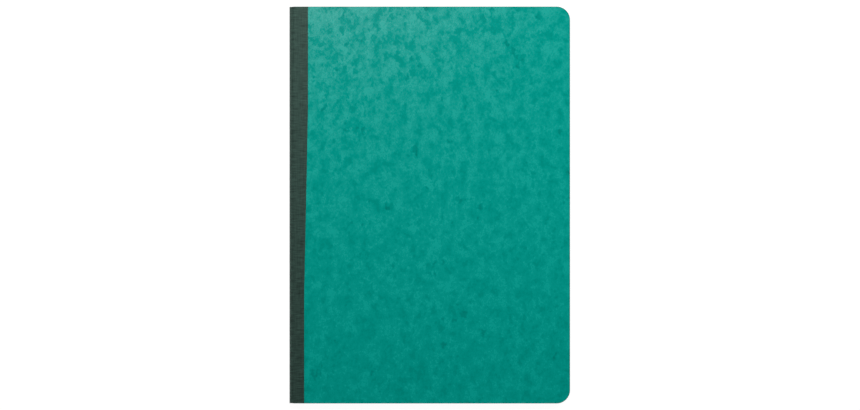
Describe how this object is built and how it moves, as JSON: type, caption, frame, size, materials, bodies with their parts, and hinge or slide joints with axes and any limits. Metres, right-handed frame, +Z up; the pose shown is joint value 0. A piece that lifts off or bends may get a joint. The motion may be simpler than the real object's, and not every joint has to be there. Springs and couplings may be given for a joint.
{
  "type": "account book",
  "caption": "Stapled account book: folded ruled sheets in a mottled card cover, wire staples through the fold, cloth tape over the spine; opens flat at its centre.",
  "frame": {"origin": "under the middle of the closed book, on the surface that it lies on", "axes": "+Z up out of the front cover, +Y towards the head, along the spine, +X from the spine to the fore-edge"},
  "size_m": [0.21, 0.297, 0.0079],
  "materials": {
    "cover_card": "mottled, glossy pressed card",
    "binding_cloth": "fine plain-woven cloth tape",
    "ledger_paper": "matte ruled paper",
    "staple_wire": "drawn zinc-coated wire"
  },
  "bodies": {
    "back_cover": {"back_cover": "cover_card", "tape_back": "binding_cloth"},
    "front_cover": {"front_cover": "cover_card", "tape_front": "binding_cloth"},
    "spine": {"staples": "staple_wire", "cover_spine": "cover_card", "tape_spine": "binding_cloth", "sheet_folds": "ledger_paper"},
    "leaf_48": {"leaf_48": "ledger_paper"},
    "leaf_47": {"leaf_47": "ledger_paper"},
    "leaf_46": {"leaf_46": "ledger_paper"},
    "leaf_45": {"leaf_45": "ledger_paper"},
    "leaf_44": {"leaf_44": "ledger_paper"},
    "leaf_43": {"leaf_43": "ledger_paper"},
    "leaf_42": {"leaf_42": "ledger_paper"},
    "leaf_41": {"leaf_41": "ledger_paper"},
    "leaf_40": {"leaf_40": "ledger_paper"},
    "leaf_39": {"leaf_39": "ledger_paper"},
    "leaf_38": {"leaf_38": "ledger_paper"},
    "leaf_37": {"leaf_37": "ledger_paper"},
    "leaf_36": {"leaf_36": "ledger_paper"},
    "leaf_35": {"leaf_35": "ledger_paper"},
    "leaf_34": {"leaf_34": "ledger_paper"},
    "leaf_33": {"leaf_33": "ledger_paper"},
    "leaf_32": {"leaf_32": "ledger_paper"},
    "leaf_31": {"leaf_31": "ledger_paper"},
    "leaf_30": {"leaf_30": "ledger_paper"},
    "leaf_29": {"leaf_29": "ledger_paper"},
    "leaf_28": {"leaf_28": "ledger_paper"},
    "leaf_27": {"leaf_27": "ledger_paper"},
    "leaf_26": {"leaf_26": "ledger_paper"},
    "leaf_25": {"leaf_25": "ledger_paper"},
    "leaf_24": {"leaf_24": "ledger_paper"},
    "leaf_23": {"leaf_23": "ledger_paper"},
    "leaf_22": {"leaf_22": "ledger_paper"},
    "leaf_21": {"leaf_21": "ledger_paper"},
    "leaf_20": {"leaf_20": "ledger_paper"},
    "leaf_19": {"leaf_19": "ledger_paper"},
    "leaf_18": {"leaf_18": "ledger_paper"},
    "leaf_17": {"leaf_17": "ledger_paper"},
    "leaf_16": {"leaf_16": "ledger_paper"},
    "leaf_15": {"leaf_15": "ledger_paper"},
    "leaf_14": {"leaf_14": "ledger_paper"},
    "leaf_13": {"leaf_13": "ledger_paper"},
    "leaf_12": {"leaf_12": "ledger_paper"},
    "leaf_11": {"leaf_11": "ledger_paper"},
    "leaf_10": {"leaf_10": "ledger_paper"},
    "leaf_09": {"leaf_09": "ledger_paper"},
    "leaf_08": {"leaf_08": "ledger_paper"},
    "leaf_07": {"leaf_07": "ledger_paper"},
    "leaf_06": {"leaf_06": "ledger_paper"},
    "leaf_05": {"leaf_05": "ledger_paper"},
    "leaf_04": {"leaf_04": "ledger_paper"},
    "leaf_03": {"leaf_03": "ledger_paper"},
    "leaf_02": {"leaf_02": "ledger_paper"},
    "leaf_01": {"leaf_01": "ledger_paper"}
  },
  "joints": [
    {"name": "cover_opening", "type": "hinge", "parent": "back_cover", "child": "front_cover", "pos_m": [-0.10074, 0, 0.00397], "axis": [0, -1, 0], "range_deg": [0, 179.9]},
    {"name": "spine_roll", "type": "hinge", "parent": "back_cover", "child": "spine", "pos_m": [-0.10074, 0, 0.00397], "axis": [0, -1, 0], "range_deg": [0, 90], "deforming": ["cover_spine", "tape_spine", "sheet_folds"]},
    {"name": "leaf_48_turn", "type": "hinge", "parent": "back_cover", "child": "leaf_48", "pos_m": [-0.10074, 0, 0.00397], "axis": [0, -1, 0], "range_deg": [0, 180]},
    {"name": "leaf_47_turn", "type": "hinge", "parent": "back_cover", "child": "leaf_47", "pos_m": [-0.10074, 0, 0.00397], "axis": [0, -1, 0], "range_deg": [0, 180]},
    {"name": "leaf_46_turn", "type": "hinge", "parent": "back_cover", "child": "leaf_46", "pos_m": [-0.10074, 0, 0.00397], "axis": [0, -1, 0], "range_deg": [0, 180]},
    {"name": "leaf_45_turn", "type": "hinge", "parent": "back_cover", "child": "leaf_45", "pos_m": [-0.10074, 0, 0.00397], "axis": [0, -1, 0], "range_deg": [0, 180]},
    {"name": "leaf_44_turn", "type": "hinge", "parent": "back_cover", "child": "leaf_44", "pos_m": [-0.10074, 0, 0.00397], "axis": [0, -1, 0], "range_deg": [0, 180]},
    {"name": "leaf_43_turn", "type": "hinge", "parent": "back_cover", "child": "leaf_43", "pos_m": [-0.10074, 0, 0.00397], "axis": [0, -1, 0], "range_deg": [0, 180]},
    {"name": "leaf_42_turn", "type": "hinge", "parent": "back_cover", "child": "leaf_42", "pos_m": [-0.10074, 0, 0.00397], "axis": [0, -1, 0], "range_deg": [0, 180]},
    {"name": "leaf_41_turn", "type": "hinge", "parent": "back_cover", "child": "leaf_41", "pos_m": [-0.10074, 0, 0.00397], "axis": [0, -1, 0], "range_deg": [0, 180]},
    {"name": "leaf_40_turn", "type": "hinge", "parent": "back_cover", "child": "leaf_40", "pos_m": [-0.10074, 0, 0.00397], "axis": [0, -1, 0], "range_deg": [0, 180]},
    {"name": "leaf_39_turn", "type": "hinge", "parent": "back_cover", "child": "leaf_39", "pos_m": [-0.10074, 0, 0.00397], "axis": [0, -1, 0], "range_deg": [0, 180]},
    {"name": "leaf_38_turn", "type": "hinge", "parent": "back_cover", "child": "leaf_38", "pos_m": [-0.10074, 0, 0.00397], "axis": [0, -1, 0], "range_deg": [0, 180]},
    {"name": "leaf_37_turn", "type": "hinge", "parent": "back_cover", "child": "leaf_37", "pos_m": [-0.10074, 0, 0.00397], "axis": [0, -1, 0], "range_deg": [0, 180]},
    {"name": "leaf_36_turn", "type": "hinge", "parent": "back_cover", "child": "leaf_36", "pos_m": [-0.10074, 0, 0.00397], "axis": [0, -1, 0], "range_deg": [0, 180]},
    {"name": "leaf_35_turn", "type": "hinge", "parent": "back_cover", "child": "leaf_35", "pos_m": [-0.10074, 0, 0.00397], "axis": [0, -1, 0], "range_deg": [0, 180]},
    {"name": "leaf_34_turn", "type": "hinge", "parent": "back_cover", "child": "leaf_34", "pos_m": [-0.10074, 0, 0.00397], "axis": [0, -1, 0], "range_deg": [0, 180]},
    {"name": "leaf_33_turn", "type": "hinge", "parent": "back_cover", "child": "leaf_33", "pos_m": [-0.10074, 0, 0.00397], "axis": [0, -1, 0], "range_deg": [0, 180]},
    {"name": "leaf_32_turn", "type": "hinge", "parent": "back_cover", "child": "leaf_32", "pos_m": [-0.10074, 0, 0.00397], "axis": [0, -1, 0], "range_deg": [0, 180]},
    {"name": "leaf_31_turn", "type": "hinge", "parent": "back_cover", "child": "leaf_31", "pos_m": [-0.10074, 0, 0.00397], "axis": [0, -1, 0], "range_deg": [0, 180]},
    {"name": "leaf_30_turn", "type": "hinge", "parent": "back_cover", "child": "leaf_30", "pos_m": [-0.10074, 0, 0.00397], "axis": [0, -1, 0], "range_deg": [0, 180]},
    {"name": "leaf_29_turn", "type": "hinge", "parent": "back_cover", "child": "leaf_29", "pos_m": [-0.10074, 0, 0.00397], "axis": [0, -1, 0], "range_deg": [0, 180]},
    {"name": "leaf_28_turn", "type": "hinge", "parent": "back_cover", "child": "leaf_28", "pos_m": [-0.10074, 0, 0.00397], "axis": [0, -1, 0], "range_deg": [0, 180]},
    {"name": "leaf_27_turn", "type": "hinge", "parent": "back_cover", "child": "leaf_27", "pos_m": [-0.10074, 0, 0.00397], "axis": [0, -1, 0], "range_deg": [0, 180]},
    {"name": "leaf_26_turn", "type": "hinge", "parent": "back_cover", "child": "leaf_26", "pos_m": [-0.10074, 0, 0.00397], "axis": [0, -1, 0], "range_deg": [0, 180]},
    {"name": "leaf_25_turn", "type": "hinge", "parent": "back_cover", "child": "leaf_25", "pos_m": [-0.10074, 0, 0.00397], "axis": [0, -1, 0], "range_deg": [0, 180]},
    {"name": "leaf_24_turn", "type": "hinge", "parent": "leaf_25", "child": "leaf_24", "pos_m": [-0.10074, 0, 0.00397], "axis": [0, -1, 0], "range_deg": [0, 180]},
    {"name": "leaf_23_turn", "type": "hinge", "parent": "leaf_26", "child": "leaf_23", "pos_m": [-0.10074, 0, 0.00397], "axis": [0, -1, 0], "range_deg": [0, 180]},
    {"name": "leaf_22_turn", "type": "hinge", "parent": "leaf_27", "child": "leaf_22", "pos_m": [-0.10074, 0, 0.00397], "axis": [0, -1, 0], "range_deg": [0, 180]},
    {"name": "leaf_21_turn", "type": "hinge", "parent": "leaf_28", "child": "leaf_21", "pos_m": [-0.10074, 0, 0.00397], "axis": [0, -1, 0], "range_deg": [0, 180]},
    {"name": "leaf_20_turn", "type": "hinge", "parent": "leaf_29", "child": "leaf_20", "pos_m": [-0.10074, 0, 0.00397], "axis": [0, -1, 0], "range_deg": [0, 180]},
    {"name": "leaf_19_turn", "type": "hinge", "parent": "leaf_30", "child": "leaf_19", "pos_m": [-0.10074, 0, 0.00397], "axis": [0, -1, 0], "range_deg": [0, 180]},
    {"name": "leaf_18_turn", "type": "hinge", "parent": "leaf_31", "child": "leaf_18", "pos_m": [-0.10074, 0, 0.00397], "axis": [0, -1, 0], "range_deg": [0, 180]},
    {"name": "leaf_17_turn", "type": "hinge", "parent": "leaf_32", "child": "leaf_17", "pos_m": [-0.10074, 0, 0.00397], "axis": [0, -1, 0], "range_deg": [0, 180]},
    {"name": "leaf_16_turn", "type": "hinge", "parent": "leaf_33", "child": "leaf_16", "pos_m": [-0.10074, 0, 0.00397], "axis": [0, -1, 0], "range_deg": [0, 180]},
    {"name": "leaf_15_turn", "type": "hinge", "parent": "leaf_34", "child": "leaf_15", "pos_m": [-0.10074, 0, 0.00397], "axis": [0, -1, 0], "range_deg": [0, 180]},
    {"name": "leaf_14_turn", "type": "hinge", "parent": "leaf_35", "child": "leaf_14", "pos_m": [-0.10074, 0, 0.00397], "axis": [0, -1, 0], "range_deg": [0, 180]},
    {"name": "leaf_13_turn", "type": "hinge", "parent": "leaf_36", "child": "leaf_13", "pos_m": [-0.10074, 0, 0.00397], "axis": [0, -1, 0], "range_deg": [0, 180]},
    {"name": "leaf_12_turn", "type": "hinge", "parent": "leaf_37", "child": "leaf_12", "pos_m": [-0.10074, 0, 0.00397], "axis": [0, -1, 0], "range_deg": [0, 180]},
    {"name": "leaf_11_turn", "type": "hinge", "parent": "leaf_38", "child": "leaf_11", "pos_m": [-0.10074, 0, 0.00397], "axis": [0, -1, 0], "range_deg": [0, 180]},
    {"name": "leaf_10_turn", "type": "hinge", "parent": "leaf_39", "child": "leaf_10", "pos_m": [-0.10074, 0, 0.00397], "axis": [0, -1, 0], "range_deg": [0, 180]},
    {"name": "leaf_09_turn", "type": "hinge", "parent": "leaf_40", "child": "leaf_09", "pos_m": [-0.10074, 0, 0.00397], "axis": [0, -1, 0], "range_deg": [0, 180]},
    {"name": "leaf_08_turn", "type": "hinge", "parent": "leaf_41", "child": "leaf_08", "pos_m": [-0.10074, 0, 0.00397], "axis": [0, -1, 0], "range_deg": [0, 180]},
    {"name": "leaf_07_turn", "type": "hinge", "parent": "leaf_42", "child": "leaf_07", "pos_m": [-0.10074, 0, 0.00397], "axis": [0, -1, 0], "range_deg": [0, 180]},
    {"name": "leaf_06_turn", "type": "hinge", "parent": "leaf_43", "child": "leaf_06", "pos_m": [-0.10074, 0, 0.00397], "axis": [0, -1, 0], "range_deg": [0, 180]},
    {"name": "leaf_05_turn", "type": "hinge", "parent": "leaf_44", "child": "leaf_05", "pos_m": [-0.10074, 0, 0.00397], "axis": [0, -1, 0], "range_deg": [0, 180]},
    {"name": "leaf_04_turn", "type": "hinge", "parent": "leaf_45", "child": "leaf_04", "pos_m": [-0.10074, 0, 0.00397], "axis": [0, -1, 0], "range_deg": [0, 180]},
    {"name": "leaf_03_turn", "type": "hinge", "parent": "leaf_46", "child": "leaf_03", "pos_m": [-0.10074, 0, 0.00397], "axis": [0, -1, 0], "range_deg": [0, 180]},
    {"name": "leaf_02_turn", "type": "hinge", "parent": "leaf_47", "child": "leaf_02", "pos_m": [-0.10074, 0, 0.00397], "axis": [0, -1, 0], "range_deg": [0, 180]},
    {"name": "leaf_01_turn", "type": "hinge", "parent": "leaf_48", "child": "leaf_01", "pos_m": [-0.10074, 0, 0.00397], "axis": [0, -1, 0], "range_deg": [0, 180]}
  ],
  "couplings": [
    {"joint": "spine_roll", "follows": "cover_opening", "ratio": 0.5},
    {"joint": "leaf_48_turn", "follows": "cover_opening", "ratio": 0.0016213},
    {"joint": "leaf_47_turn", "follows": "cover_opening", "ratio": 0.0032425},
    {"joint": "leaf_46_turn", "follows": "cover_opening", "ratio": 0.0048638},
    {"joint": "leaf_45_turn", "follows": "cover_opening", "ratio": 0.0064851},
    {"joint": "leaf_44_turn", "follows": "cover_opening", "ratio": 0.0081064},
    {"joint": "leaf_43_turn", "follows": "cover_opening", "ratio": 0.0097276},
    {"joint": "leaf_42_turn", "follows": "cover_opening", "ratio": 0.011349},
    {"joint": "leaf_41_turn", "follows": "cover_opening", "ratio": 0.01297},
    {"joint": "leaf_40_turn", "follows": "cover_opening", "ratio": 0.014591},
    {"joint": "leaf_39_turn", "follows": "cover_opening", "ratio": 0.016213},
    {"joint": "leaf_38_turn", "follows": "cover_opening", "ratio": 0.017834},
    {"joint": "leaf_37_turn", "follows": "cover_opening", "ratio": 0.019455},
    {"joint": "leaf_36_turn", "follows": "cover_opening", "ratio": 0.021077},
    {"joint": "leaf_35_turn", "follows": "cover_opening", "ratio": 0.022698},
    {"joint": "leaf_34_turn", "follows": "cover_opening", "ratio": 0.024319},
    {"joint": "leaf_33_turn", "follows": "cover_opening", "ratio": 0.02594},
    {"joint": "leaf_32_turn", "follows": "cover_opening", "ratio": 0.027562},
    {"joint": "leaf_31_turn", "follows": "cover_opening", "ratio": 0.029183},
    {"joint": "leaf_30_turn", "follows": "cover_opening", "ratio": 0.030804},
    {"joint": "leaf_29_turn", "follows": "cover_opening", "ratio": 0.032425},
    {"joint": "leaf_28_turn", "follows": "cover_opening", "ratio": 0.034047},
    {"joint": "leaf_27_turn", "follows": "cover_opening", "ratio": 0.035668},
    {"joint": "leaf_26_turn", "follows": "cover_opening", "ratio": 0.037289},
    {"joint": "leaf_25_turn", "follows": "cover_opening", "ratio": 0.038911},
    {"joint": "leaf_24_turn", "follows": "cover_opening", "ratio": 0.92218},
    {"joint": "leaf_23_turn", "follows": "cover_opening", "ratio": 0.92542},
    {"joint": "leaf_22_turn", "follows": "cover_opening", "ratio": 0.92866},
    {"joint": "leaf_21_turn", "follows": "cover_opening", "ratio": 0.93191},
    {"joint": "leaf_20_turn", "follows": "cover_opening", "ratio": 0.93515},
    {"joint": "leaf_19_turn", "follows": "cover_opening", "ratio": 0.93839},
    {"joint": "leaf_18_turn", "follows": "cover_opening", "ratio": 0.94163},
    {"joint": "leaf_17_turn", "follows": "cover_opening", "ratio": 0.94488},
    {"joint": "leaf_16_turn", "follows": "cover_opening", "ratio": 0.94812},
    {"joint": "leaf_15_turn", "follows": "cover_opening", "ratio": 0.95136},
    {"joint": "leaf_14_turn", "follows": "cover_opening", "ratio": 0.9546},
    {"joint": "leaf_13_turn", "follows": "cover_opening", "ratio": 0.95785},
    {"joint": "leaf_12_turn", "follows": "cover_opening", "ratio": 0.96109},
    {"joint": "leaf_11_turn", "follows": "cover_opening", "ratio": 0.96433},
    {"joint": "leaf_10_turn", "follows": "cover_opening", "ratio": 0.96757},
    {"joint": "leaf_09_turn", "follows": "cover_opening", "ratio": 0.97082},
    {"joint": "leaf_08_turn", "follows": "cover_opening", "ratio": 0.97406},
    {"joint": "leaf_07_turn", "follows": "cover_opening", "ratio": 0.9773},
    {"joint": "leaf_06_turn", "follows": "cover_opening", "ratio": 0.98054},
    {"joint": "leaf_05_turn", "follows": "cover_opening", "ratio": 0.98379},
    {"joint": "leaf_04_turn", "follows": "cover_opening", "ratio": 0.98703},
    {"joint": "leaf_03_turn", "follows": "cover_opening", "ratio": 0.99027},
    {"joint": "leaf_02_turn", "follows": "cover_opening", "ratio": 0.99351},
    {"joint": "leaf_01_turn", "follows": "cover_opening", "ratio": 0.99676}
  ]
}
